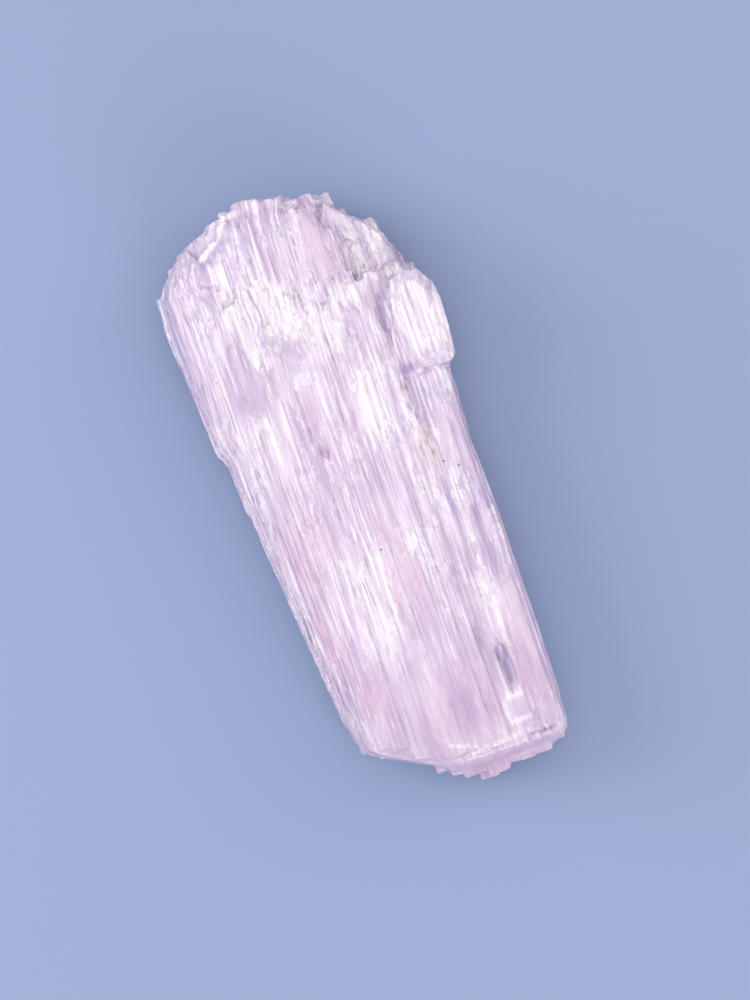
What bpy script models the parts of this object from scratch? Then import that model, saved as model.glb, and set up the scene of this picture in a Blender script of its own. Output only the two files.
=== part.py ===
"""Kunzite crystal: one flattened spodumene prism built of long parallel laths, lying on its broad face.

X runs across the broad face, Y along the crystal to its ragged end, and Z through its thickness.
Sizes are millimetres in the crystal's own frame, whose zero is near its middle. The finished solid
is moved so that the middle of its foot is the origin.
"""

import math
import random

import bmesh
import bpy
from mathutils import Matrix, Vector
from mathutils.bvhtree import BVHTree

MM = 0.001
SEED = 7

# Driving levels through the thickness
REST = 0.0              # laths that the crystal lies on
SHORT_OF_REST = 0.18    # laths beside them that don't reach down as far
BACK = 0.4              # broad back face behind them
FRONT = 12.2            # broad front face under its laths
BLOCK_FOOT = 3.2        # milky side block, from here
BLOCK_TOP = 13.6        # to here, the crystal's highest point
ABOVE = 16.0            # clear of everything, for the tops of hollows
BURIED = 0.6            # how deep the root of a lath lies in the body
SUNKEN_ROOT = 0.5       # how far the root of a tip lies below its outer end
OVERLAP = 0.1           # how far the root of a lath reaches under its neighbours
LOWER_EDGE = -32.3      # where the front ends and the lower end slopes down

# Strips that the laths of each face lie in: start, stop, narrowest and widest
FRONT_STRIPS = (-14.6, 13.2, 0.7, 2.3)
BACK_STRIPS = (-11.0, 11.4, 0.8, 3.0)
SIDE_STRIPS = (1.2, 10.6, 0.9, 2.6)

# Shortest and longest pieces that the laths and tips are broken into
FRONT_LENGTHS = (10.0, 55.0)
SIDE_LENGTHS = (12.0, 50.0)
TIP_LENGTHS = (5.0, 8.0)

BACK_REACH = (-31.5, 25.0)      # the laths of the back stay between these places along Y
SIDE_REACH = (-30.5, 25.0)      # and those of the sides between these
LAST_RIB = 18.0                 # no rib of a side starts past here
TIP_SECTIONS = (-32.3, 32.0)    # tips past these places keep the section that the body has there
BLOCK_BEVEL = 1.3               # cut shoulders of the milky block
CRUMB_DEPTH = 0.35              # how far the middle of a crumb lies under the surface

# Body stations along Y: left edge, right edge, back level, front level
BODY = [
    (-35.0, 2.6, 9.6, 1.6, 4.4),
    (-34.6, 1.0, 10.8, 0.9, 7.2),
    (-34.0, -0.5, 12.0, BACK, 9.4),
    (-33.3, -1.7, 12.9, BACK, 11.2),
    (-32.8, -2.0, 13.1, BACK, 11.9),
    (-32.0, -3.4, 13.3, BACK, FRONT),
    (-30.0, -7.2, 13.4, BACK, FRONT),
    (-28.2, -9.9, 13.4, BACK, FRONT),
    (-25.0, -10.5, 13.4, BACK, FRONT),
    (-16.0, -11.6, 13.5, BACK, FRONT),
    (-9.0, -12.1, 13.5, BACK, FRONT),
    (-0.5, -12.9, 13.4, BACK, FRONT),
    (1.5, -13.1, 13.2, BACK, FRONT),
    (7.3, -13.4, 13.5, BACK, FRONT),
    (8.6, -14.1, 13.5, BACK, FRONT),
    (12.4, -14.5, 13.3, BACK, FRONT),
    (16.5, -14.3, 13.3, BACK, FRONT),
    (20.5, -15.0, 13.3, BACK, FRONT),
    (22.6, -15.2, 12.6, BACK, FRONT),
    (26.4, -15.2, 11.4, 0.6, FRONT),
    (28.2, -14.2, 10.0, 1.0, 12.1),
    (30.2, -12.3, 7.6, 1.7, 12.0),
    (31.8, -10.2, 6.4, 2.6, 11.7),
    (33.2, -6.4, 2.4, 3.8, 11.1),
]

# The body's outline across X, as fractions of its width and depth: up the left side, over the
# crown, and up the right side
LEFT_SIDE = [
    (0.11, 0.0),
    (0.03, 0.16),
    (0.0, 0.38),
    (0.005, 0.66),
    (0.05, 0.90),
    (0.16, 0.975),
]
CROWN = (0.5, 1.0)
RIGHT_SIDE = [
    (0.88, 0.0),
    (0.95, 0.10),
    (0.99, 0.28),
    (1.0, 0.60),
    (0.97, 0.88),
    (0.85, 0.975),
]
WIDEST = 2              # the side points from here up belong to the front as well

# Broad growth steps across the front: how far the laths stand out at each X
FRONT_STEPS = [
    (-14.6, 0.0),
    (-10.6, 0.05),
    (-10.4, 0.3),
    (-4.6, 0.3),
    (-4.4, 0.12),
    (0.4, 0.15),
    (0.6, 0.45),
    (6.4, 0.4),
    (6.6, 0.1),
    (13.2, 0.05),
]

# Places along Y where each face bends, so that a long lath follows it
BENDS = {
    "front": (28.2, 31.8),
    "back": (28.2, 31.8),
    "left": (-25.0, -0.5, 7.3, 8.6, 20.5),
    "right": (-9.0, 1.5, 7.3),
}

# How far the ragged upper end and the broken lower end reach at each X
UPPER_END = [
    (-15.5, 26.2),
    (-15.0, 27.6),
    (-14.4, 28.2),
    (-12.7, 29.8),
    (-12.1, 30.8),
    (-10.9, 31.9),
    (-9.8, 31.7),
    (-8.2, 32.5),
    (-6.5, 33.5),
    (-4.0, 34.6),
    (-2.3, 34.7),
    (0.2, 34.3),
    (1.8, 33.8),
    (3.4, 32.4),
    (4.8, 33.1),
    (6.4, 32.7),
    (6.9, 31.2),
    (8.2, 30.2),
    (8.7, 28.9),
    (10.6, 28.4),
    (11.3, 26.9),
    (11.9, 24.2),
    (12.4, 23.1),
    (13.4, 22.4),
    (13.8, 20.4),
]
LOWER_END = [
    (-10.4, -28.1),
    (-8.8, -29.3),
    (-6.1, -30.6),
    (-3.6, -32.0),
    (-2.1, -32.7),
    (-1.8, -33.6),
    (0.2, -34.5),
    (2.0, -35.3),
    (2.6, -36.0),
    (4.3, -35.5),
    (6.4, -35.1),
    (10.2, -34.9),
    (12.3, -33.9),
    (13.4, -32.2),
]

# Layers of lath tips through the thickness: their place as fractions of it, and how far each one
# may pass the body's sides
TIP_LAYERS = [
    ((0.02, 0.42), 0.3),
    ((0.30, 0.74), 1.4),
    ((0.62, 1.0), 1.4),
]

# Strips of tips at each end, narrowest and widest, how far they may fall short of its outline, and
# how far their corners are broken back. The lower end is the smoother one.
UPPER_TIPS = ((0.8, 2.0), 0.55, 0.5)
LOWER_TIPS = ((1.3, 3.6), 0.3, 0.25)
LOWER_FRONT_STOP = -2.0     # beyond this X the lower end slopes, so its front layer has no tips

# The two longest tips: X from and to, how far the tip reaches, and its layer
PEAK = (-3.9, -2.2, 34.8, 1)
LOBE = (1.9, 4.2, -36.0, 0)

# Milky block on the right side: its outline in X and Y
BLOCK_OUTLINE = [
    (10.2, 20.6),
    (9.5, 17.2),
    (8.8, 14.0),
    (9.1, 11.4),
    (10.2, 10.4),
    (13.8, 10.1),
    (14.5, 10.6),
    (14.8, 13.5),
    (15.0, 17.4),
    (14.6, 19.2),
    (13.6, 20.9),
    (12.0, 21.2),
]

# Hollows in the front: outline in X and Y, then the floor as its level at the first point and its
# slopes along X and Y
HOLLOWS = {
    "upper left facet": (
        [(-9.2, 29.4), (-7.4, 30.3), (-6.3, 31.6), (-5.4, 33.0), (-3.4, 32.4), (-3.4, 36.0), (-12.0, 36.0)],
        (11.9, 0.62, -0.66),
    ),
    "left side face": (
        [(-13.3, 17.6), (-13.0, 28.4), (-17.0, 30.0), (-17.0, 17.0)],
        (11.6, 1.35, 0.0),
    ),
    "upper right recess": (
        [(5.9, 31.0), (6.1, 23.2), (9.0, 22.2), (12.4, 22.9), (14.0, 26.0), (9.0, 32.0)],
        (11.2, -0.22, 0.04),
    ),
    "deeper step of the recess": (
        [(6.6, 27.0), (6.7, 23.6), (9.2, 22.9), (11.9, 23.4), (11.0, 26.2), (8.6, 26.7)],
        (10.0, -0.10, -0.12),
    ),
    "magenta hollow": (
        [(6.3, 22.9), (6.7, 21.7), (7.9, 21.9), (7.6, 23.1)],
        (10.7, 0.0, 0.35),
    ),
    "lilac recess": (
        [(7.3, 22.0), (7.4, 19.2), (8.1, 15.4), (8.7, 15.0), (9.6, 19.0), (9.8, 21.2)],
        (12.0, -0.12, 0.05),
    ),
    "lens sliver": (
        [(8.1, 19.6), (8.3, 17.0), (8.7, 15.6), (9.1, 18.0), (9.0, 19.8)],
        (11.4, 0.1, 0.08),
    ),
    "hollow under the block": (
        [(7.8, 11.5), (7.9, 10.3), (10.4, 9.9), (10.2, 10.7), (9.0, 11.6)],
        (11.5, 0.1, 0.3),
    ),
    "rhombic pit": (
        [(-3.7, 5.2), (-2.5, 3.9), (-1.7, 4.9), (-2.8, 6.3)],
        (11.7, 0.15, 0.2),
    ),
    "long lower pit": (
        [(7.8, -22.3), (8.0, -26.9), (8.9, -27.1), (9.5, -26.2), (9.4, -21.8), (8.5, -21.4)],
        (11.4, 0.12, -0.06),
    ),
    "upper stepped plate": (
        [(7.5, -27.4), (7.5, -29.8), (10.4, -29.7), (10.3, -27.2)],
        (12.35, 0.03, 0.05),
    ),
    "lower stepped plate": (
        [(7.2, -29.9), (7.2, -31.8), (10.4, -31.6), (10.5, -29.8)],
        (12.0, 0.04, 0.05),
    ),
    "bevel at the lower right": (
        [(6.4, -33.1), (7.4, -32.4), (10.4, -31.9), (11.4, -31.0), (14.6, -30.2), (14.6, -37.0), (6.0, -37.0)],
        (12.0, -0.08, 1.15),
    ),
    "slit at the lower edge": (
        [(7.0, -32.5), (8.6, -32.8), (10.6, -32.5), (10.4, -32.3), (8.0, -32.35)],
        (11.0, 0.0, 0.2),
    ),
    "middle window": (
        [(-4.2, 18.2), (-3.9, 6.4), (-2.5, 6.2), (-2.2, 13.6), (-1.4, 15.2), (-1.8, 18.6)],
        (12.25, 0.0, 0.0),
    ),
    "left window": (
        [(-9.9, 15.8), (-9.2, 11.2), (-7.0, 10.8), (-6.6, 15.4), (-8.2, 19.8), (-9.4, 19.6)],
        (12.2, 0.04, 0.0),
    ),
    "broad smooth lath": (
        [(2.7, 33.0), (2.9, 20.6), (5.3, 20.2), (5.6, 32.4)],
        (12.3, 0.06, -0.02),
    ),
}

# Rough patches of broken crumbs on the front: centre, half sizes, how many
ROUGH_PATCHES = [
    ((-2.4, 21.2), (5.0, 4.2), 20),
    ((4.9, 20.8), (1.4, 1.4), 5),
    ((8.6, 25.2), (2.2, 2.6), 7),
    ((-9.0, 23.6), (1.6, 2.6), 4),
    ((7.9, 2.6), (1.2, 5.6), 5),
]

LILAC = (0.68, 0.57, 0.79, 1.0)
ROUGHNESS = 0.18
REFRACTION = 1.66
CLEARNESS = 0.75


def along(points, at):
    """Straight-line value between the listed (place, value) points."""
    if at <= points[0][0]:
        return points[0][1]
    for (here, value), (there, following) in zip(points, points[1:]):
        if at <= there:
            return value + (following - value) * (at - here) / (there - here)
    return points[-1][1]


def station(y):
    """Left edge, right edge, back level and front level of the body at one place along Y."""
    return [along([(row[0], row[k]) for row in BODY], y) for k in (1, 2, 3, 4)]


def front_at(x, y):
    """Level of the body's front at one place."""
    left, right, back, front = station(y)
    over = LEFT_SIDE[WIDEST:] + [CROWN] + RIGHT_SIDE[:WIDEST:-1]
    return back + (front - back) * along(over, (x - left) / (right - left))


def side_at(profile, z, y):
    """X of one side of the body at one level."""
    left, right, back, front = station(y)
    rising = [(deep, across) for across, deep in profile]
    return left + (right - left) * along(rising, (z - back) / (front - back))


def over_face(face, across, y, proud):
    """A point that stands proud of one face of the body. It is placed across the face by X on the
    front and back, and by Z on the sides."""
    if face == "front":
        return across, y, front_at(across, y) + proud
    if face == "back":
        return across, y, station(y)[2] - proud
    if face == "left":
        return side_at(LEFT_SIDE, across, y) - proud, y, across
    return side_at(RIGHT_SIDE, across, y) + proud, y, across


def new_object(name, collection, bm):
    """A mesh object of what the bmesh holds, with its faces pointing out."""
    bmesh.ops.recalc_face_normals(bm, faces=bm.faces)
    mesh = bpy.data.meshes.new(name)
    bm.to_mesh(mesh)
    bm.free()
    made = bpy.data.objects.new(name, mesh)
    collection.objects.link(made)
    return made


def new_helper(collection, bm):
    """One shape that is joined to the crystal or cut from it."""
    helper = new_object(collection.name, collection, bm)
    helper.hide_render = True
    helper.display_type = "WIRE"


def new_body(collection):
    """The core of the crystal, lofted from station to station."""
    bm = bmesh.new()
    rings = []
    for y, left, right, back, front in BODY:
        ring = []
        for across, deep in LEFT_SIDE + [CROWN] + RIGHT_SIDE[::-1]:
            x = left + across * (right - left)
            z = back + deep * (front - back)
            ring.append(bm.verts.new(Vector((x, y, z)) * MM))
        rings.append(ring)
    count = len(rings[0])
    for lower, upper in zip(rings, rings[1:]):
        for i in range(count):
            j = (i + 1) % count
            bm.faces.new((lower[i], upper[i], upper[j], lower[j]))
    bm.faces.new(rings[0])
    bm.faces.new(reversed(rings[-1]))
    return new_object("kunzite_crystal", collection, bm)


def add_loft(group, sections):
    """A bar lofted through four-cornered sections."""
    bm = bmesh.new()
    rings = [[bm.verts.new(Vector(corner) * MM) for corner in section] for section in sections]
    for lower, upper in zip(rings, rings[1:]):
        for i in range(4):
            j = (i + 1) % 4
            bm.faces.new((lower[i], lower[j], upper[j], upper[i]))
    bm.faces.new(rings[0])
    bm.faces.new(reversed(rings[-1]))
    new_helper(group, bm)


def strips(rng, start, stop, narrowest, widest):
    """Seeded parallel strips that fill the stretch from start to stop, more of them narrow."""
    here = start
    while here < stop - narrowest:
        width = narrowest + (widest - narrowest) * rng.random() ** 1.6
        width = min(width, stop - here)
        yield here, here + width
        here += width


def reach(x0, x1):
    """The stretch along Y in which the body is at least as wide as the strip."""
    places = [y / 2 for y in range(-66, 67)]
    inside = [y for y in places if station(y)[0] <= x0 and station(y)[1] >= x1]
    return (inside[0], inside[-1]) if inside else (0.0, 0.0)


def add_lath(group, rng, face, across, ends, level):
    """A growth lath along Y on one face of the body, with a narrower outer side and long points."""
    a0, a1 = across
    y0, y1 = ends
    width = a1 - a0
    narrow = rng.uniform(0.03, 0.09) * width
    tilt = rng.uniform(-0.1, 0.1)
    sections = []
    for y in [y0] + [bend for bend in BENDS[face] if y0 + 1.5 < bend < y1 - 1.5] + [y1]:
        inward = 0.0
        point = 0.0
        if y in ends:
            inward = rng.uniform(0.2, 0.9) * (1 if y == y0 else -1)
            point = rng.uniform(0.0, 0.12) * width
        low = a0 + narrow + point * rng.random()
        high = a1 - narrow - point * rng.random()
        sections.append([
            over_face(face, a0 - OVERLAP + point, y, -BURIED),
            over_face(face, a1 + OVERLAP - point, y, -BURIED),
            over_face(face, high, y + inward, level + tilt),
            over_face(face, low, y + inward, level - tilt),
        ])
    add_loft(group, sections)


def add_front_laths(group, rng):
    """Growth laths on the broad front: parallel strips, each broken into a few unlike lengths."""
    for x0, x1 in strips(rng, *FRONT_STRIPS):
        first = max(reach(x0 + 0.2, x1 - 0.2)[0], LOWER_EDGE)
        last = min(along(UPPER_END, x0), along(UPPER_END, x1))
        y0 = first + rng.uniform(0.0, 0.25)
        while y0 < last - 3.0:
            y1 = y0 + rng.uniform(*FRONT_LENGTHS)
            if y1 > last - 5.0:
                y1 = last - rng.uniform(0.0, 0.6)
            level = along(FRONT_STEPS, (x0 + x1) / 2) + rng.uniform(0.1, 0.36)
            add_lath(group, rng, "front", (x0, x1), (y0, y1), level)
            y0 = y1 + rng.uniform(-2.0, 1.0)


def add_back_laths(group, rng):
    """Lower laths under the crystal. Three in four reach the level that it rests on."""
    for number, (x0, x1) in enumerate(strips(rng, *BACK_STRIPS)):
        first, last = reach(x0, x1)
        y0 = max(first, BACK_REACH[0]) + rng.uniform(0.0, 2.0)
        y1 = min(last, BACK_REACH[1]) - rng.uniform(0.0, 3.0)
        foot = REST if number % 4 else SHORT_OF_REST
        narrow = rng.uniform(0.08, 0.3)
        sections = []
        for y, inward in ((y0, 2.0), (y1, -2.0)):
            sections.append([
                (x0 - OVERLAP, y, BACK + BURIED),
                (x1 + OVERLAP, y, BACK + BURIED),
                (x1 - narrow, y + inward, foot),
                (x0 + narrow, y + inward, foot),
            ])
        add_loft(group, sections)


def add_side_laths(group, rng):
    """Ribs along both side faces, which give the outline its small steps."""
    for face in ("left", "right"):
        for z0, z1 in strips(rng, *SIDE_STRIPS):
            y0 = SIDE_REACH[0] + rng.uniform(0.0, 3.0)
            while y0 < LAST_RIB:
                y1 = min(y0 + rng.uniform(*SIDE_LENGTHS), SIDE_REACH[1])
                add_lath(group, rng, face, (z0, z1), (y0, y1), rng.uniform(0.08, 0.34))
                y0 = y1 + rng.uniform(-1.0, 2.0)


def add_tip(group, rng, strip, far, direction, layer, slants):
    """A broken lath tip that comes out of one end of the body."""
    (low, high), proud = TIP_LAYERS[layer]
    x0, x1 = strip
    near = far - direction * rng.uniform(*TIP_LENGTHS)
    sections = []
    for y, buried in ((near, True), (far, False)):
        at = max(TIP_SECTIONS[0], min(TIP_SECTIONS[1], y))
        left, right, back = station(at)[:3]
        top = front_at(max(left, min(right, (x0 + x1) / 2)), at)
        z0 = back + low * (top - back)
        z1 = back + high * (top - back) - (SUNKEN_ROOT if buried else 0.0)
        middle = (z0 + z1) / 2
        first = max(x0, side_at(LEFT_SIDE, middle, at) - proud)
        last = min(x1, side_at(RIGHT_SIDE, middle, at) + proud)
        section = []
        for x, z in ((first, z0), (last, z0), (last - 0.1, z1), (first + 0.1, z1)):
            slant = 0.0 if buried else rng.uniform(*slants)
            section.append((x, y - direction * slant, z))
        sections.append(section)
    if last - first > 0.3:
        add_loft(group, sections)


def add_tips(group, rng, profile, direction, tips):
    """Tips all along one end, each layer in strips of its own. Half of them reach the crystal's end
    as it is listed."""
    widths, short, broken = tips
    for layer in range(len(TIP_LAYERS)):
        stop = profile[-1][0]
        if direction < 0 and layer == len(TIP_LAYERS) - 1:
            stop = LOWER_FRONT_STOP
        for x0, x1 in strips(rng, profile[0][0] + 0.1, stop, *widths):
            drop = max(0.0, rng.uniform(-short, short))
            far = along(profile, (x0 + x1) / 2) - direction * drop
            add_tip(group, rng, (x0, x1), far, direction, layer, (0.0, broken))


def upright_prism(outline, floor, top):
    """An upright prism on a flat outline. The floor is a level and its slopes along X and Y."""
    bm = bmesh.new()
    level, slope_x, slope_y = floor
    first_x, first_y = outline[0]
    base = []
    for x, y in outline:
        z = level + slope_x * (x - first_x) + slope_y * (y - first_y)
        base.append(bm.verts.new(Vector((x, y, z)) * MM))
    made = bmesh.ops.extrude_face_region(bm, geom=[bm.faces.new(base)])["geom"]
    for vert in made:
        if isinstance(vert, bmesh.types.BMVert):
            vert.co.z = top * MM
    return bm


def add_side_block(group):
    """The milky block: an overgrown side crystal with cut shoulders, proud of the front."""
    bm = upright_prism(BLOCK_OUTLINE, (BLOCK_FOOT, 0.0, 0.0), BLOCK_TOP)
    rims = [
        edge for edge in bm.edges
        if abs(edge.verts[0].co.z - edge.verts[1].co.z) < 0.1 * MM
    ]
    bmesh.ops.bevel(bm, geom=rims, offset=BLOCK_BEVEL * MM, segments=1, affect="EDGES")
    new_helper(group, bm)


def add_crumbs(group, rng, surface):
    """Short broken blocks, tilted at random and sunk in the surface, in each rough patch."""
    for (middle_x, middle_y), (half_x, half_y), count in ROUGH_PATCHES:
        for _ in range(count):
            turn = rng.uniform(0.0, math.tau)
            out = math.sqrt(rng.random())
            x = middle_x + half_x * out * math.cos(turn)
            y = middle_y + half_y * out * math.sin(turn)
            size = (rng.uniform(0.6, 1.3), rng.uniform(0.8, 2.2), rng.uniform(1.2, 1.6))
            spin = Matrix.Rotation(rng.uniform(-0.4, 0.4), 4, "Z")
            spin @= Matrix.Rotation(rng.uniform(-0.35, 0.35), 4, "Y")
            spin @= Matrix.Rotation(rng.uniform(-0.25, 0.25), 4, "X")
            start = Vector((x, y, ABOVE)) * MM
            hit = surface.ray_cast(start, Vector((0.0, 0.0, -1.0)))[0]
            middle = hit - Vector((0.0, 0.0, CRUMB_DEPTH * MM))
            shape = Matrix.Diagonal((size[0] * MM, size[1] * MM, size[2] * MM, 1.0))
            bm = bmesh.new()
            bmesh.ops.create_cube(bm, size=1.0, matrix=Matrix.Translation(middle) @ spin @ shape)
            new_helper(group, bm)


def add_boolean(target, operation, group):
    """Joins the group's shapes to the target, or cuts them from it. They overlap one another, which
    this solver settles with no open edge."""
    modifier = target.modifiers.new(group.name, "BOOLEAN")
    modifier.operation = operation
    modifier.solver = "MANIFOLD"
    modifier.operand_type = "COLLECTION"
    modifier.collection = group


def evaluated_tree(obj):
    """The object as its modifiers leave it, for finding where its surface lies."""
    bpy.context.view_layer.update()
    return BVHTree.FromObject(obj, bpy.context.evaluated_depsgraph_get())


def kunzite_material():
    """Clear lilac spodumene with a satiny, striated surface."""
    material = bpy.data.materials.new("kunzite")
    material.use_nodes = True
    shader = material.node_tree.nodes["Principled BSDF"]
    shader.inputs["Base Color"].default_value = LILAC
    shader.inputs["Roughness"].default_value = ROUGHNESS
    shader.inputs["Metallic"].default_value = 0.0
    shader.inputs["IOR"].default_value = REFRACTION
    shader.inputs["Transmission Weight"].default_value = CLEARNESS
    material.diffuse_color = LILAC
    return material


def clear_scene():
    """Takes out whatever the file opened with."""
    for obj in list(bpy.data.objects):
        bpy.data.objects.remove(obj, do_unlink=True)


def new_collection(name, parent):
    """A collection inside another one."""
    made = bpy.data.collections.new(name)
    parent.children.link(made)
    return made


def build_crystal():
    """The body with its laths joined to it, the hollows cut from it, and then the crumbs."""
    parts = new_collection("kunzite crystal", bpy.context.scene.collection)
    helpers = new_collection("kunzite crystal helpers", bpy.context.scene.collection)
    rng = random.Random(SEED)
    crystal = new_body(parts)
    crystal.data.materials.append(kunzite_material())

    laths = new_collection("growth lath", helpers)
    add_side_block(laths)
    add_front_laths(laths, rng)
    add_back_laths(laths, rng)
    add_side_laths(laths, rng)
    for profile, direction, tips, longest in (
        (UPPER_END, 1, UPPER_TIPS, PEAK),
        (LOWER_END, -1, LOWER_TIPS, LOBE),
    ):
        add_tips(laths, rng, profile, direction, tips)
        x0, x1, far, layer = longest
        add_tip(laths, rng, (x0, x1), far, direction, layer, (0.0, 0.2))
    add_boolean(crystal, "UNION", laths)

    hollows = new_collection("etched hollow", helpers)
    for outline, floor in HOLLOWS.values():
        new_helper(hollows, upright_prism(outline, floor, ABOVE))
    add_boolean(crystal, "DIFFERENCE", hollows)

    crumbs = new_collection("broken crumb", helpers)
    add_crumbs(crumbs, rng, evaluated_tree(crystal))
    add_boolean(crystal, "UNION", crumbs)
    return crystal


def shell_of(first):
    """All the faces that can be reached from one face by crossing edges."""
    found = {first}
    waiting = [first]
    while waiting:
        for edge in waiting.pop().edges:
            for face in edge.link_faces:
                if face not in found:
                    found.add(face)
                    waiting.append(face)
    return found


def fill_voids(bm):
    """Leaves only the outer shell, so the small gaps shut in between laths are solid."""
    loose = set(bm.faces)
    shells = []
    while loose:
        shell = shell_of(next(iter(loose)))
        loose -= shell
        shells.append(shell)
    outer = max(shells, key=len)
    inner = [face for face in bm.faces if face not in outer]
    bmesh.ops.delete(bm, geom=inner, context="FACES")


def settle(crystal):
    """Gives the crystal its joined shape as its own mesh, with the middle of its foot at the origin."""
    bpy.context.view_layer.update()
    evaluated = crystal.evaluated_get(bpy.context.evaluated_depsgraph_get())
    joined = bpy.data.meshes.new_from_object(evaluated)
    crystal.modifiers.clear()
    crystal.data = joined
    bm = bmesh.new()
    bm.from_mesh(joined)
    fill_voids(bm)
    shift = Vector()
    for axis in range(3):
        places = [vert.co[axis] for vert in bm.verts]
        low, high = min(places), max(places)
        shift[axis] = -low if axis == 2 else -(low + high) / 2
    bmesh.ops.translate(bm, verts=bm.verts, vec=shift)
    bm.to_mesh(joined)
    bm.free()


clear_scene()
settle(build_crystal())
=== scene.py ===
import math

import bmesh
import bpy
import numpy as np
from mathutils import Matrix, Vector


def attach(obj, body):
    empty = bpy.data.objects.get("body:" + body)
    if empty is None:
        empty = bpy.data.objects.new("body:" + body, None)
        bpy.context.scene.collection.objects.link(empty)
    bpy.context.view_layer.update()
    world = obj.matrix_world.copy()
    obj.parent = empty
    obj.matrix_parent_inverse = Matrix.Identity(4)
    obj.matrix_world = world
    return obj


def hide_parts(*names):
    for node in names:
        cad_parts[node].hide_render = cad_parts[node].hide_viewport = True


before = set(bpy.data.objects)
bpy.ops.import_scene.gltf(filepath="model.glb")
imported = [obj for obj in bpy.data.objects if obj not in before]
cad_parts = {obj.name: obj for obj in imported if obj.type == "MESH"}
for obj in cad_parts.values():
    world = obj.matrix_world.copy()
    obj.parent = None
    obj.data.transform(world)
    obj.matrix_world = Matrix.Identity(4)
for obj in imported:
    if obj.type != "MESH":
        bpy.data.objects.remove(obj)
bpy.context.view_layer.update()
mm = 0.001


def toLinear(hexColour):
    # an sRGB hex colour as the linear RGBA that sockets take
    channels = [int(hexColour[i:i + 2], 16) / 255 for i in (1, 3, 5)]
    return [c / 12.92 if c <= 0.04045 else ((c + 0.055) / 1.055) ** 2.4 for c in channels] + [1.0]


def addNode(tree, kind, inputs=None, **settings):
    # one node with its settings; an input is a number, a colour or another node's output
    node = tree.nodes.new(kind)
    for name, value in settings.items():
        setattr(node, name, value)
    for key, value in (inputs or {}).items():
        if isinstance(value, bpy.types.NodeSocket):
            tree.links.new(value, node.inputs[key])
        else:
            node.inputs[key].default_value = value
    return node


# The crystal's mesh: the solid's own shape, cut into fine cells that are longer along the striations.
# Sizes are in millimetres.
crystal = {
    "weld": 0.001,              # points of the solid's mesh that are nearer than this become one
    "cell": 0.175,              # across the laths
    # the share of its length that the mesh keeps while it is cut into cells, from each place along Y
    # on; a small share makes long cells, which suit the long laths, and the broken ends keep more
    "squeeze": [(-36.0, 0.7), (-28.5, 0.27), (19.0, 0.48)],
    "squeezeEnd": 37.0,
    "easing": 4,                # rounds of drawing the cells straight along the laths
    "lengthwise": 0.8,          # share of an edge's length that has to be along Y
    "gapRounds": 4,             # gaps of up to twice as many cells across are filled
    "gapDepth": 0.06,           # how deep they stay
    "frontFrom": 10.0,          # level that the broad front starts from
    "lathWidth": 1.1,           # from groove to groove
    "lathLength": 15.0,
    "lathDepth": 0.08,
    "stripeWidth": 0.6,
    "stripeLength": 8.0,
    "stripeDepth": 0.07,
    "grooveSharpness": 6.5,     # a groove is narrower at a higher value
    "crumbWidth": 1.0,          # broken crumbs in the frosted patches
    "crumbLength": 2.0,
    "crumbDepth": 0.26,
    "windowCalm": 0.8,          # share of the grooves that a smooth patch lacks
    "brokenFacing": (0.35, 0.75),   # how far a face looks along Y, from unbroken to broken
    "underFacing": (-0.7, -0.3),    # how far a face looks up, from the underside to the sides
    "swell": 0.1,               # the sides and front stand out, so that the grooves don't thin it
    "sharpAngle": 40.0,         # degrees
    "seed": 5.0,
}

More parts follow.
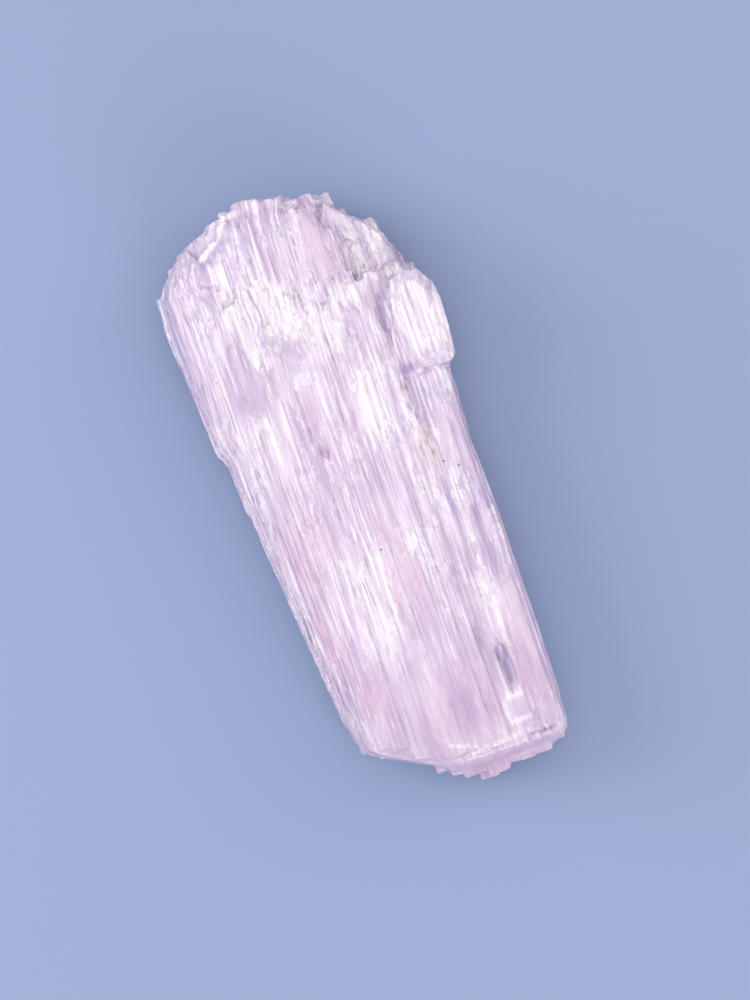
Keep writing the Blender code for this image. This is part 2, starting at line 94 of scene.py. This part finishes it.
# Patches of the broad front: middle (X, Y), half sizes, strength and, for some, how many degrees they
# are turned. Their places are in millimetres from the point that patchOrigin gives.
patchOrigin = (0.2, 0.63)
patchLevels = (4.0, 9.0)        # mm, the patches start above the first level and are whole above the second
patchEdge = {
    "fray": [(0.28, 0.9, 7.0), (0.2, 1.6, 2.4)],    # strength, and width and length (mm) of the waves
    "reach": 1.2,               # where a patch ends, as a share of its half size
    "softness": 0.6,
}
patches = {
    # broken into crumbs
    "crumbly": [
        (-4.5, 23.5, 4.0, 2.0, 1.0),
        (-1.8, 20.8, 2.8, 2.8, 1.0),
        (1.4, 18.4, 1.8, 2.4, 0.8),
        (4.9, 20.9, 1.5, 1.4, 0.9),
        (9.0, 26.0, 2.8, 3.4, 0.9),
        (11.0, 21.7, 2.6, 0.5, 0.8),
        (8.2, 1.2, 0.9, 2.0, 0.5),
        (-10.0, 24.0, 0.9, 2.2, 0.4),
        (8.7, -22.6, 0.9, 1.6, 0.5),
        (8.3, -27.0, 1.1, 0.8, 0.5),
    ],
    # frosted or milky, and thin painted highlights along edges (the narrow lines)
    "milk": [
        (-4.5, 23.5, 4.2, 2.4, 1.0),
        (-1.8, 20.6, 3.0, 3.2, 1.0),
        (1.4, 18.2, 2.4, 3.4, 0.9),
        (4.9, 20.9, 1.6, 1.6, 1.0),
        (12.3, 15.2, 3.4, 6.2, 1.0),
        # thin painted highlights along the upper-left facet's edges, and the facet itself paler
        (-7.7, 30.3, 2.1, 0.3, 2.0, 31.0),
        (-5.7, 32.2, 1.1, 0.3, 2.0, 62.0),
        (-8.0, 31.4, 2.0, 0.6, 0.8, 27.0),
        # thin bright lines: painted highlights along the stepped plates' edges, and a white stripe in the pit
        (8.6, -27.4, 1.4, 0.3, 1.0),
        (8.4, -30.3, 1.5, 0.3, 1.3),
        (7.1, -28.9, 0.3, 1.5, 1.3),
        (10.0, -28.8, 0.3, 1.2, 1.0),
        (7.9, -24.9, 0.2, 2.0, 0.8),
        (4.6, -24.0, 2.4, 3.6, 0.3),
        (10.6, 4.0, 1.4, 4.6, 0.4),
        (10.2, -17.0, 1.8, 3.4, 0.4),
        # thin painted highlights along the lower end's bevel
        (4.4, -32.0, 3.6, 0.3, 1.3, 3.0),
        (1.2, -31.0, 1.6, 0.25, 1.0, -20.0),
        (4.3, 8.0, 3.4, 5.4, 0.9),
        (7.0, -2.5, 1.6, 5.6, 0.8),
        (7.6, 2.6, 1.6, 4.0, 1.0),
        (-2.8, -12.0, 2.4, 8.4, 0.8),
        (-7.6, 6.0, 1.2, 4.0, 0.4),
        (5.6, -17.0, 1.2, 4.0, 0.5),
        (-12.2, -3.0, 0.9, 9.0, 0.5),
        (-13.9, 10.0, 0.9, 2.4, 0.8),
        (-14.4, 22.0, 1.0, 6.0, 0.4),
        (9.0, 26.0, 2.8, 3.0, 0.5),
        (11.3, 21.6, 2.4, 0.6, 1.0),
        (6.6, 14.0, 1.2, 3.4, 0.5),
    ],
    # smooth and clear, so that the crystal's own colour shows
    "window": [
        (-2.7, 16.4, 1.3, 2.4, 1.0),
        (-3.1, 10.0, 0.8, 4.0, 0.8),
        (-8.2, 13.8, 1.7, 2.8, 0.9),
        (-9.0, 17.4, 0.7, 3.6, 0.8),
        (4.0, 26.6, 1.5, 6.2, 0.9),
        (-7.0, 30.7, 3.0, 1.8, 1.0, 32.0),
        (-14.0, 21.0, 1.0, 6.0, 0.6),
        (8.9, -29.4, 1.4, 2.2, 0.7),
        (-2.7, 5.1, 0.9, 0.9, 1.0),
        (8.4, 19.4, 0.9, 2.2, 0.8),
        (9.0, 10.8, 1.4, 0.6, 1.0),
        (2.4, -28.0, 4.6, 5.2, 1.0),
        (1.5, -27.0, 15.0, 9.0, 0.82),
        (1.5, -19.0, 14.0, 6.0, 0.4),
        (5.0, -34.5, 9.0, 1.3, 0.9),
        (-0.8, 13.0, 2.2, 6.0, 0.4),
        (1.0, -9.0, 2.0, 6.0, 0.5),
        (-7.0, -6.0, 2.6, 5.0, 0.4),
        (11.4, -22.0, 1.8, 9.0, 0.9),
    ],
    # pinker lilac
    "pink": [
        (-8.0, -5.0, 3.0, 5.4, 1.0),
        (1.0, -9.0, 2.2, 7.2, 1.0),
        (-8.8, -15.5, 1.8, 3.8, 0.9),
        (-6.2, -23.5, 2.0, 3.8, 0.9),
        (2.6, -27.5, 4.8, 5.6, 0.8),
        (4.0, 26.6, 1.6, 6.4, 0.5),
        (-2.7, 5.1, 1.0, 1.0, 1.0),
        (-3.1, 10.0, 0.9, 4.4, 0.8),
        (11.0, -22.0, 1.8, 8.0, 0.7),
        (5.0, -34.4, 9.0, 1.4, 0.35),
    ],
    # cooler, greyer lilac, and painted shade: darker in hollows, under the block and below the step under the
    # upper-left facet
    "violetAndShade": [
        (-5.8, 30.0, 3.4, 2.4, 0.4),
        # painted shadow below the step under the upper-left facet
        (-7.0, 29.9, 2.6, 0.6, 0.9, 31.0),
        (-4.8, 31.9, 0.6, 1.6, 0.9),
        (3.2, -27.6, 2.6, 3.6, 0.35),
        (-8.2, 14.0, 1.9, 3.8, 0.3),
        (-2.7, 16.4, 1.4, 2.8, 0.4),
        (9.6, 7.6, 2.2, 2.8, 0.6),
        (10.6, -5.4, 2.2, 2.8, 0.7),
        (11.2, -13.0, 1.0, 3.4, 0.6),
        # painted shade in the dark pit
        (8.6, -24.2, 0.9, 3.0, 0.8),
        (9.0, -29.4, 1.6, 2.4, 0.3),
        (8.4, 17.8, 0.45, 2.8, 0.6, -12.0),
        # painted shadow in the hollow under the block
        (9.0, 10.8, 1.4, 0.6, 0.9),
        (10.8, 29.0, 3.4, 5.0, 0.5),
        (-14.4, 22.0, 1.0, 7.0, 0.5),
    ],
    # painted shade in deep hollows, slits and under the block, where little light comes out
    "deep": [
        (8.7, -24.7, 0.45, 1.6, 0.75),
        (-2.7, 5.0, 0.8, 0.9, 0.15),
        (9.0, -22.5, 0.25, 0.9, 0.6),
        (8.2, -22.8, 0.2, 1.3, 0.5),
        (10.2, -32.3, 1.7, 0.25, 0.6),
        (6.8, 22.6, 0.9, 0.3, 0.4),
        (9.0, 10.6, 0.8, 0.4, 0.4),
    ],
    # old clay in the breaks
    "clay": [
        (7.9, 8.8, 0.5, 0.7, 0.6),
        (8.4, 2.1, 0.3, 0.5, 0.6),
        (8.8, 1.0, 0.25, 0.6, 0.7),
        (8.4, 1.6, 1.6, 2.8, 0.22),
    ],
}


def squeezed(y, back=False):
    # where a place along Y lies after the squeeze, or with back where it lay before
    places = [start * mm for start, _ in crystal["squeeze"]] + [crystal["squeezeEnd"] * mm]
    slopes = [slope for _, slope in crystal["squeeze"]]
    after = [0.0]
    for slope, low, high in zip(slopes, places, places[1:]):
        after.append(after[-1] + slope * (high - low))
    return np.interp(y, after, places) if back else np.interp(y, places, after)


def pointsOf(mesh):
    places = np.empty(len(mesh.vertices) * 3)
    mesh.vertices.foreach_get("co", places)
    return places


def moveAlongY(mesh, back):
    places = pointsOf(mesh)
    places[1::3] = squeezed(places[1::3], back)
    mesh.vertices.foreach_set("co", places)
    mesh.update()


def takeModifiers(obj):
    # what the object's modifiers make becomes its own mesh
    bpy.context.view_layer.update()
    evaluated = obj.evaluated_get(bpy.context.evaluated_depsgraph_get())
    mesh = bpy.data.meshes.new_from_object(evaluated)
    obj.modifiers.clear()
    obj.data = mesh


def cutIntoCells():
    # the solid's mesh, merged, squeezed along Y and cut into even cells
    bm = bmesh.new()
    bm.from_mesh(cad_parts["kunzite_crystal"].data)
    bmesh.ops.remove_doubles(bm, verts=bm.verts, dist=crystal["weld"] * mm)
    mesh = bpy.data.meshes.new("kunzite")
    bm.to_mesh(mesh)
    bm.free()
    moveAlongY(mesh, back=False)
    made = bpy.data.objects.new("kunzite", mesh)
    bpy.context.scene.collection.objects.link(made)
    remesh = made.modifiers.new("cells", "REMESH")
    remesh.mode = "VOXEL"
    remesh.voxel_size = crystal["cell"] * mm
    takeModifiers(made)
    ease(made.data)
    moveAlongY(made.data, back=True)
    print("cells:", len(made.data.polygons), "faces")
    return made


def averaged(values, ends):
    # every point's value averaged with its neighbours' along the given edges
    one, other = ends.T
    count = len(values)
    total = values + np.bincount(one, values[other], count) + np.bincount(other, values[one], count)
    return total / (1 + np.bincount(ends.ravel(), minlength=count))


def spread(values, ends, pick):
    # every point takes the highest or the lowest value among its own and its neighbours'
    one, other = ends.T
    result = values.copy()
    pick.at(result, one, values[other])
    pick.at(result, other, values[one])
    return result


def ease(mesh):
    # draws each row of cells straight along the laths and leaves the shape across them sharp, then
    # fills the narrow gaps of the front, which would show as dark lines
    places = pointsOf(mesh).reshape(-1, 3)
    ends = np.empty(len(mesh.edges) * 2, dtype=np.int64)
    mesh.edges.foreach_get("vertices", ends)
    ends = ends.reshape(-1, 2)
    step = places[ends[:, 1]] - places[ends[:, 0]]
    lengthwise = np.abs(step[:, 1]) > crystal["lengthwise"] * np.linalg.norm(step, axis=1)
    for _ in range(crystal["easing"]):
        for axis in (0, 2):
            places[:, axis] = averaged(places[:, axis], ends[lengthwise])
    level = places[:, 2]
    for pick in (np.maximum, np.minimum):
        for _ in range(crystal["gapRounds"]):
            level = spread(level, ends[~lengthwise], pick)
    front = places[:, 2] > crystal["frontFrom"] * mm
    places[front, 2] = np.maximum(places[front, 2], level[front] - crystal["gapDepth"] * mm)
    mesh.vertices.foreach_set("co", places.ravel())
    mesh.update()


def smoothStep(value):
    value = np.clip(value, 0.0, 1.0)
    return value * value * (3 - 2 * value)


def waves(rng, x, y, wide, long, count=6):
    # a seeded mix of slanting waves between about -1 and 1
    total = np.zeros(len(x))
    for _ in range(count):
        across, along = rng.uniform(0.5, 1.6, 2) / (wide, long)
        total += np.sin(2 * math.pi * (x * across * rng.choice((-1, 1)) + y * along + rng.random()))
    return total / (count / 2)


def markPatches(obj):
    # how much of each kind of patch every point has; the patches fray along the laths
    mesh = obj.data
    x, y, z = pointsOf(mesh).reshape(-1, 3).T / mm
    rng = np.random.default_rng(int(crystal["seed"]))
    front = smoothStep((z - patchLevels[0]) / (patchLevels[1] - patchLevels[0]))
    for kind, spots in patches.items():
        most = np.zeros(len(x))
        for middleX, middleY, halfX, halfY, strength, *turned in spots:
            angle = math.radians(sum(turned))
            awayX, awayY = x - patchOrigin[0] - middleX, y - patchOrigin[1] - middleY
            across = (awayX * math.cos(angle) + awayY * math.sin(angle)) / halfX
            along = (awayY * math.cos(angle) - awayX * math.sin(angle)) / halfY
            fray = sum(share * waves(rng, x, y, *sizes) for share, *sizes in patchEdge["fray"])
            inside = patchEdge["reach"] - np.sqrt(across ** 2 + along ** 2) + fray * min(1.0, halfX)
            most = np.maximum(most, smoothStep(inside / patchEdge["softness"]) * strength)
        attribute = mesh.attributes.new(kind, "FLOAT", "POINT")
        attribute.data.foreach_set("value", most * front)
    print("patches:", ", ".join(f"{len(spots)} {kind}" for kind, spots in patches.items()))


# inputs of the striations, each with the value of crystal whose name it spells
striationInputs = {
    " ".join(words): words[0].lower() + "".join(words[1:])
    for words in (
        ("Lath", "Width"), ("Lath", "Length"), ("Lath", "Depth"),
        ("Stripe", "Width"), ("Stripe", "Length"), ("Stripe", "Depth"),
        ("Crumb", "Width"), ("Crumb", "Length"), ("Crumb", "Depth"),
        ("Swell",), ("Seed",),
    )
}


def striationTree(material):
    # grooves between growth laths, finer grooves on them, and crumbs in the frosted patches
    tree = bpy.data.node_groups.new("striations", "GeometryNodeTree")
    face = tree.interface
    face.new_socket("Geometry", in_out="INPUT", socket_type="NodeSocketGeometry")
    for name in striationInputs:
        face.new_socket(name, in_out="INPUT", socket_type="NodeSocketFloat")
    face.new_socket("Geometry", in_out="OUTPUT", socket_type="NodeSocketGeometry")
    given = addNode(tree, "NodeGroupInput").outputs

    def calc(operation, a, b=0.0, third=0.0):
        return addNode(tree, "ShaderNodeMath", {0: a, 1: b, 2: third}, operation=operation).outputs[0]

    def vector(operation, a, b):
        return addNode(tree, "ShaderNodeVectorMath", {0: a, 1: b}, operation=operation).outputs[0]

    def own(name):
        node = addNode(tree, "GeometryNodeInputNamedAttribute", {"Name": name}, data_type="FLOAT")
        return node.outputs[0]

    def stored(geometry, name, value, kind):
        return addNode(tree, "GeometryNodeStoreNamedAttribute", {
            "Geometry": geometry, "Name": name, "Value": value,
        }, data_type=kind, domain="POINT").outputs[0]

    def passing(value, span):
        # 0 below the span, 1 above it
        return addNode(tree, "ShaderNodeMapRange", {
            "Value": value, "From Min": span[0], "From Max": span[1],
        }).outputs[0]

    place = addNode(tree, "GeometryNodeInputPosition").outputs[0]
    inMm = vector("MULTIPLY", place, (1000, 1000, 1000))
    offset = addNode(tree, "ShaderNodeCombineXYZ", {0: given["Seed"], 2: given["Seed"]}).outputs[0]
    moved = vector("ADD", inMm, offset)

    def stretched(width, length):
        size = addNode(tree, "ShaderNodeCombineXYZ", {0: width, 1: length, 2: width}).outputs[0]
        return vector("DIVIDE", moved, size)

    def grooves(kind):
        # deepest along the lines where the noise crosses its middle value
        noise = addNode(tree, "ShaderNodeTexNoise", {
            "Vector": stretched(given[kind + " Width"], given[kind + " Length"]), "Scale": 1.0, "Detail": 0.0,
        }).outputs[0]
        away = calc("ABSOLUTE", calc("SUBTRACT", noise, 0.5))
        near = calc("MAXIMUM", calc("MULTIPLY_ADD", away, -crystal["grooveSharpness"], 1.0))
        return calc("MULTIPLY", near, given[kind + " Depth"])

    crumbly, window = own("crumbly"), own("window")
    normal = addNode(tree, "GeometryNodeInputNormal").outputs[0]
    facing = addNode(tree, "ShaderNodeSeparateXYZ", {0: normal}).outputs
    crumb = addNode(tree, "ShaderNodeTexVoronoi", {
        "Vector": stretched(given["Crumb Width"], given["Crumb Length"]), "Scale": 1.0,
    }).outputs["Distance"]
    laths = calc("ADD", grooves("Lath"), grooves("Stripe"))
    broken = passing(calc("ABSOLUTE", facing[1]), crystal["brokenFacing"])
    calm = calc("MAXIMUM", broken, calc("MULTIPLY", window, crystal["windowCalm"]))
    calmed = calc("MULTIPLY", laths, calc("SUBTRACT", 1.0, calm))
    crumbs = calc("MULTIPLY", calc("MULTIPLY", crumb, crumbly), given["Crumb Depth"])
    raised = calc("MULTIPLY", passing(facing[2], crystal["underFacing"]), given["Swell"])
    out = calc("SUBTRACT", raised, calc("ADD", calmed, crumbs))
    shift = addNode(tree, "ShaderNodeVectorMath", {0: normal, "Scale": calc("MULTIPLY", out, mm)},
                    operation="SCALE").outputs[0]
    marked = stored(given["Geometry"], "place", moved, "FLOAT_VECTOR")
    marked = stored(marked, "broken", broken, "FLOAT")
    pushed = addNode(tree, "GeometryNodeSetPosition", {"Geometry": marked, "Offset": shift}).outputs[0]
    real = addNode(tree, "GeometryNodeRealizeInstances", {"Geometry": pushed}).outputs[0]
    dressed = addNode(tree, "GeometryNodeSetMaterial", {"Geometry": real, "Material": material}).outputs[0]
    addNode(tree, "NodeGroupOutput", {0: dressed})
    return tree


def striate(obj, material):
    tree = striationTree(material)
    modifier = obj.modifiers.new("striations", "NODES")
    modifier.node_group = tree
    for item in tree.interface.items_tree:
        if item.item_type == "SOCKET" and item.in_out == "INPUT" and item.name in striationInputs:
            modifier[item.identifier] = crystal[striationInputs[item.name]]
    takeModifiers(obj)
    obj.data.shade_smooth()
    obj.data.set_sharp_from_angle(angle=math.radians(crystal["sharpAngle"]))
    print("striated:", len(obj.data.polygons), "faces,", len(obj.data.loop_triangles), "triangles")


# Kunzite is spodumene, a clear lilac silicate. It grows in long laths, so its faces are satiny with
# fine stripes, white where they are broken and clear in the hollows; part of the stripes' sheen is painted
# into the colour as highlights.
kunziteLook = {
    # white: frost and milky patches, and painted highlights on stripes, chips and edges
    "white": "#F4EEF6",
    "lilac": "#E0CBE8",
    "pink": "#E4C3E1",
    # violet: cooler lilac, and painted shade in hollows and under steps
    "violetAndShade": "#BBA9D8",
    # painted shade for the deepest hollows
    "deep": "#8E7DA8",
    "clay": "#A58473",
    "speck": "#6B5562",
    "refraction": 1.66,
    "absorbs": "#E4C6EE",
    "density": 20.0,                    # per metre
    # share of light that is let through and roughness, where the face is lilac and where it is white
    "clearness": (0.36, 0.16),
    "roughness": (0.14, 0.3),
    "windowClearness": 0.06,            # added in the smooth patches
    "crumblyRoughness": 0.12,           # added in the broken places
    # width and length (mm) of the flat strips that the faces break into, and how steep they may lean
    "stripe": (0.5, 12.0, 0.75),
    "fineStripe": (0.24, 6.0, 0.9),     # real ones go down to hundredths, too fine to show
    "chip": (0.6, 1.5, 0.4),            # where stripes stop short
    "hackle": (0.6, 1.2, 0.9),          # in the broken places
    "unroll": 0.7,                      # mm across that a mm of height counts as, down the sides
    "raggedness": 1.6,                  # per mm, of the noise that bends the edges of the chips
    # width and length (mm) of the soft patterns, and their detail
    "cloud": (2.6, 9.0, 3.0),
    "streak": (0.6, 12.0, 2.0),
    "chipGroup": (2.2, 5.0, 1.0),
    # between which of its values a pattern rises, and from which share to which
    "rises": {
        # stripe, fineStripe and chip whiten some stripes: partly broken frost, partly painted highlights
        # where a stripe would catch the light
        "stripe": (0.5, 0.55, 0.0, 0.24),
        "fineStripe": (0.5, 0.55, 0.0, 0.22),
        # painted glints: a few fine stripes much whiter
        "glintStripe": (0.84, 0.88, 0.0, 0.3),
        "violetStripe": (0.1, 0.14, 0.4, 0.0),
        "chip": (0.5, 0.56, -0.1, 0.32),
        "cloud": (0.38, 0.66, -0.12, 0.32),
        "streak": (0.35, 0.65, -0.1, 0.16),
        "chipGroup": (0.5, 0.58, 0.0, 1.0),
        "stripesInWindow": (0.0, 1.0, 1.0, 0.2),
        "stripesOnBroken": (0.0, 1.0, 1.0, 0.15),
        "crumblyEnd": (20.0, 26.0, 0.0, 0.6),   # along Y in mm, towards the upper end
        "facingUp": (0.5, 0.7, 0.0, 1.0),
    },
    # how much whiter the patches (the milky ones with their painted edge highlights) and the broken faces are
    "whiterMilkAndEdgeHighlight": 0.45,
    "whiterBroken": 0.1,
    "whiterCrumbly": 0.15,
    "whiterHackle": 0.4,
    # dark specks of another mineral, on the front: X, Y and radius in mm
    "specks": [(-0.3, -7.4, 0.07), (13.2, -8.7, 0.08), (9.5, -0.3, 0.09), (11.0, -1.3, 0.07)],
    "speckEdge": 0.08,
}


def kunziteMaterial():
    look = kunziteLook
    material = bpy.data.materials.new("kunzite, natural growth faces")
    material.use_nodes = True
    tree = material.node_tree
    tree.nodes.clear()
    place = addNode(tree, "ShaderNodeAttribute", attribute_name="place").outputs["Vector"]

    def own(name):
        return addNode(tree, "ShaderNodeAttribute", attribute_name=name).outputs["Fac"]

    def calc(operation, a, b, third=0.0):
        return addNode(tree, "ShaderNodeMath", {0: a, 1: b, 2: third}, operation=operation).outputs[0]

    def times(a, *others):
        for other in others:
            a = calc("MULTIPLY", a, other)
        return a

    def plus(a, *others):
        for other in others:
            a = calc("ADD", a, other)
        return a

    def vector(operation, a, b):
        return addNode(tree, "ShaderNodeVectorMath", {0: a, 1: b}, operation=operation).outputs

    def ranged(value, low, high, toLow, toHigh):
        return addNode(tree, "ShaderNodeMapRange", {
            "Value": value, "From Min": low, "From Max": high, "To Min": toLow, "To Max": toHigh,
        }).outputs[0]

    def rising(value, name):
        return ranged(value, *look["rises"][name])

    def tinted(factor, below, name):
        # the colour below, covered with one of the look's colours
        node = addNode(tree, "ShaderNodeMix", {"Factor": factor, 6: below, 7: toLinear(look[name])},
                       data_type="RGBA")
        return node.outputs[2]

    # the place unrolled around the crystal: across the laths on the front as on the sides, and along
    part = addNode(tree, "ShaderNodeSeparateXYZ", {0: place}).outputs
    across = calc("MULTIPLY_ADD", part[2], look["unroll"], part[0])
    unrolled = addNode(tree, "ShaderNodeCombineXYZ", {0: across, 1: part[1]}).outputs[0]

    def facets(width, length, steepness, where=unrolled, dimensions="2D"):
        # flat strips, each with its own random tilt; gives their relief in mm and their random tone
        scaled = vector("MULTIPLY", where, (1 / width, 1 / length, 1 / width))[0]
        cell = addNode(tree, "ShaderNodeTexVoronoi", {"Vector": scaled, "Scale": 1.0},
                       voronoi_dimensions=dimensions).outputs
        away = vector("SUBTRACT", scaled, cell["Position"])[0]
        lean = vector("SUBTRACT", cell["Color"], (0.5, 0.5, 0.5))[0]
        relief = times(vector("DOT_PRODUCT", away, lean)[1], width * steepness)
        tone = addNode(tree, "ShaderNodeSeparateColor", {0: cell["Color"]}).outputs[1]
        return relief, tone

    def noise(width, length, detail):
        scaled = vector("MULTIPLY", place, (1 / width, 1 / length, 1 / width))[0]
        inputs = {"Vector": scaled, "Scale": 1.0, "Detail": detail}
        return addNode(tree, "ShaderNodeTexNoise", inputs).outputs[0]

    crumbly, milk, window, pink, violetAndShade, deep, clay, broken = [
        own(name) for name in ("crumbly", "milk", "window", "pink", "violetAndShade", "deep", "clay", "broken")
    ]
    stripeRelief, stripeTone = facets(*look["stripe"])
    fineRelief, fineTone = facets(*look["fineStripe"])
    ragged = addNode(tree, "ShaderNodeTexNoise", {
        "Vector": place, "Scale": look["raggedness"], "Detail": 1.0,
    }).outputs["Color"]
    chipRelief, chipTone = facets(*look["chip"], where=vector("ADD", unrolled, ragged)[0])
    hackleRelief, hackleTone = facets(*look["hackle"], where=place, dimensions="3D")
    chipped = rising(noise(*look["chipGroup"]), "chipGroup")
    striped = times(rising(window, "stripesInWindow"), rising(broken, "stripesOnBroken"))
    crumbly = calc("MAXIMUM", crumbly, times(broken, rising(part[1], "crumblyEnd")))

    # white where a stripe is broken, and painted highlights where a stripe, chip or glint stripe would catch
    # the light; lilac between, and violet in some fine ones
    white = plus(
        rising(stripeTone, "stripe"), rising(fineTone, "fineStripe"), rising(fineTone, "glintStripe"),
        rising(noise(*look["streak"]), "streak"), times(chipped, rising(chipTone, "chip")),
    )
    white = plus(
        times(white, striped), rising(noise(*look["cloud"]), "cloud"),
        times(milk, look["whiterMilkAndEdgeHighlight"]), times(broken, look["whiterBroken"]),
        times(crumbly, look["whiterCrumbly"]), times(crumbly, hackleTone, look["whiterHackle"]),
    )
    white = ranged(white, 0.0, 1.0, 0.0, 1.0)
    base = tinted(pink, toLinear(look["lilac"]), "pink")
    # cooler lilac, and painted shade in hollows and under steps
    base = tinted(violetAndShade, base, "violetAndShade")
    # frost, and painted highlights on stripes, chips and edges
    base = tinted(white, base, "white")
    base = tinted(times(rising(fineTone, "violetStripe"), striped), base, "violetAndShade")
    # painted shade in the deepest hollows
    base = tinted(deep, base, "deep")
    base = tinted(clay, base, "clay")
    normal = addNode(tree, "ShaderNodeNewGeometry").outputs["Normal"]
    facingUp = rising(addNode(tree, "ShaderNodeSeparateXYZ", {0: normal}).outputs[2], "facingUp")
    flat = vector("MULTIPLY", place, (1.0, 1.0, 0.0))[0]
    for x, y, radius in look["specks"]:
        # the stored place is shifted along X by the seed
        spot = (x + patchOrigin[0] + crystal["seed"], y + patchOrigin[1], 0.0)
        near = ranged(vector("DISTANCE", flat, spot)[1], radius, radius + look["speckEdge"], 1.0, 0.0)
        base = tinted(times(near, facingUp), base, "speck")

    clear = plus(ranged(white, 0.0, 1.0, *look["clearness"]), times(window, look["windowClearness"]))
    rough = plus(ranged(white, 0.0, 1.0, *look["roughness"]), times(crumbly, look["crumblyRoughness"]))
    stripes = plus(stripeRelief, fineRelief, times(chipRelief, chipped))
    relief = plus(times(stripes, striped), times(hackleRelief, crumbly))
    bump = addNode(tree, "ShaderNodeBump", {"Strength": 1.0, "Distance": mm, "Height": relief}).outputs[0]

    shader = addNode(tree, "ShaderNodeBsdfPrincipled", {
        "Base Color": base, "Roughness": rough, "Metallic": 0.0, "IOR": look["refraction"],
        "Transmission Weight": clear, "Normal": bump,
    }).outputs[0]
    volume = addNode(tree, "ShaderNodeVolumeAbsorption", {
        "Color": toLinear(look["absorbs"]), "Density": look["density"],
    }).outputs[0]
    addNode(tree, "ShaderNodeOutputMaterial", {"Surface": shader, "Volume": volume})
    return material


# Floor, light and camera
studio = {
    "floor": "#8494B4",
    "floorSize": 1.2,           # m
    "floorRoughness": 0.9,
    "room": "#F8F3F7",
    "roomStrength": 0.84,
    # place, size (m), power (W) and colour of each soft light
    "lights": {
        "window on the left": ((-0.32, 0.16, 0.20), (0.25, 0.35), 1.05, "#FFFFFF"),
        "fill on the right": ((0.34, 0.05, 0.22), (0.25, 0.3), 0.35, "#FFF4F4"),
        "fill at the lower end": ((0.06, -0.34, 0.18), (0.3, 0.25), 0.6, "#FFFAFF"),
        "overhead": ((0.0, 0.1, 0.5), (0.3, 0.3), 0.5, "#FFFFFF"),
    },
    "lens": 113.0,              # mm
    "sensor": 36.0,             # mm
    "nearest": 0.01,            # m from the camera that still shows
    "camera": (0.00106, -0.00131, 0.362),   # m
    "lean": 19.0,               # degrees that the crystal's top leans to the left in the picture
}


def layFloor():
    bpy.ops.mesh.primitive_plane_add(size=studio["floorSize"])
    floor = bpy.context.object
    floor.name = "floor"
    paper = bpy.data.materials.new("matt pale paper")
    paper.use_nodes = True
    shader = paper.node_tree.nodes["Principled BSDF"]
    shader.inputs["Base Color"].default_value = toLinear(studio["floor"])
    shader.inputs["Roughness"].default_value = studio["floorRoughness"]
    floor.data.materials.append(paper)


def setLight():
    world = bpy.data.worlds.new("soft room")
    world.use_nodes = True
    background = world.node_tree.nodes["Background"]
    background.inputs[0].default_value = toLinear(studio["room"])
    background.inputs[1].default_value = studio["roomStrength"]
    bpy.context.scene.world = world
    for name, (place, size, power, colour) in studio["lights"].items():
        lamp = bpy.data.lights.new(name, "AREA")
        lamp.shape = "RECTANGLE"
        lamp.size, lamp.size_y = size
        lamp.energy = power
        lamp.color = toLinear(colour)[:3]
        box = bpy.data.objects.new(name, lamp)
        box.location = place
        box.rotation_euler = (-Vector(place)).to_track_quat("-Z", "Y").to_euler()
        bpy.context.scene.collection.objects.link(box)


def setCamera():
    # straight above the broad front, turned so that the crystal leans as it does in the photograph
    lens = bpy.data.cameras.new("camera")
    lens.lens = studio["lens"]
    lens.sensor_width = studio["sensor"]
    lens.clip_start = studio["nearest"]
    camera = bpy.data.objects.new("camera", lens)
    camera.location = studio["camera"]
    camera.rotation_euler = (0.0, 0.0, math.radians(-studio["lean"]))
    bpy.context.scene.collection.objects.link(camera)
    bpy.context.scene.camera = camera
    print("studio: floor,", len(studio["lights"]), "lights and camera are set")


kunzite = cutIntoCells()
markPatches(kunzite)
striate(kunzite, kunziteMaterial())
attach(kunzite, "root")
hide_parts("kunzite_crystal")
layFloor()
setLight()
setCamera()
bpy.context.scene.view_settings.view_transform = "Standard"
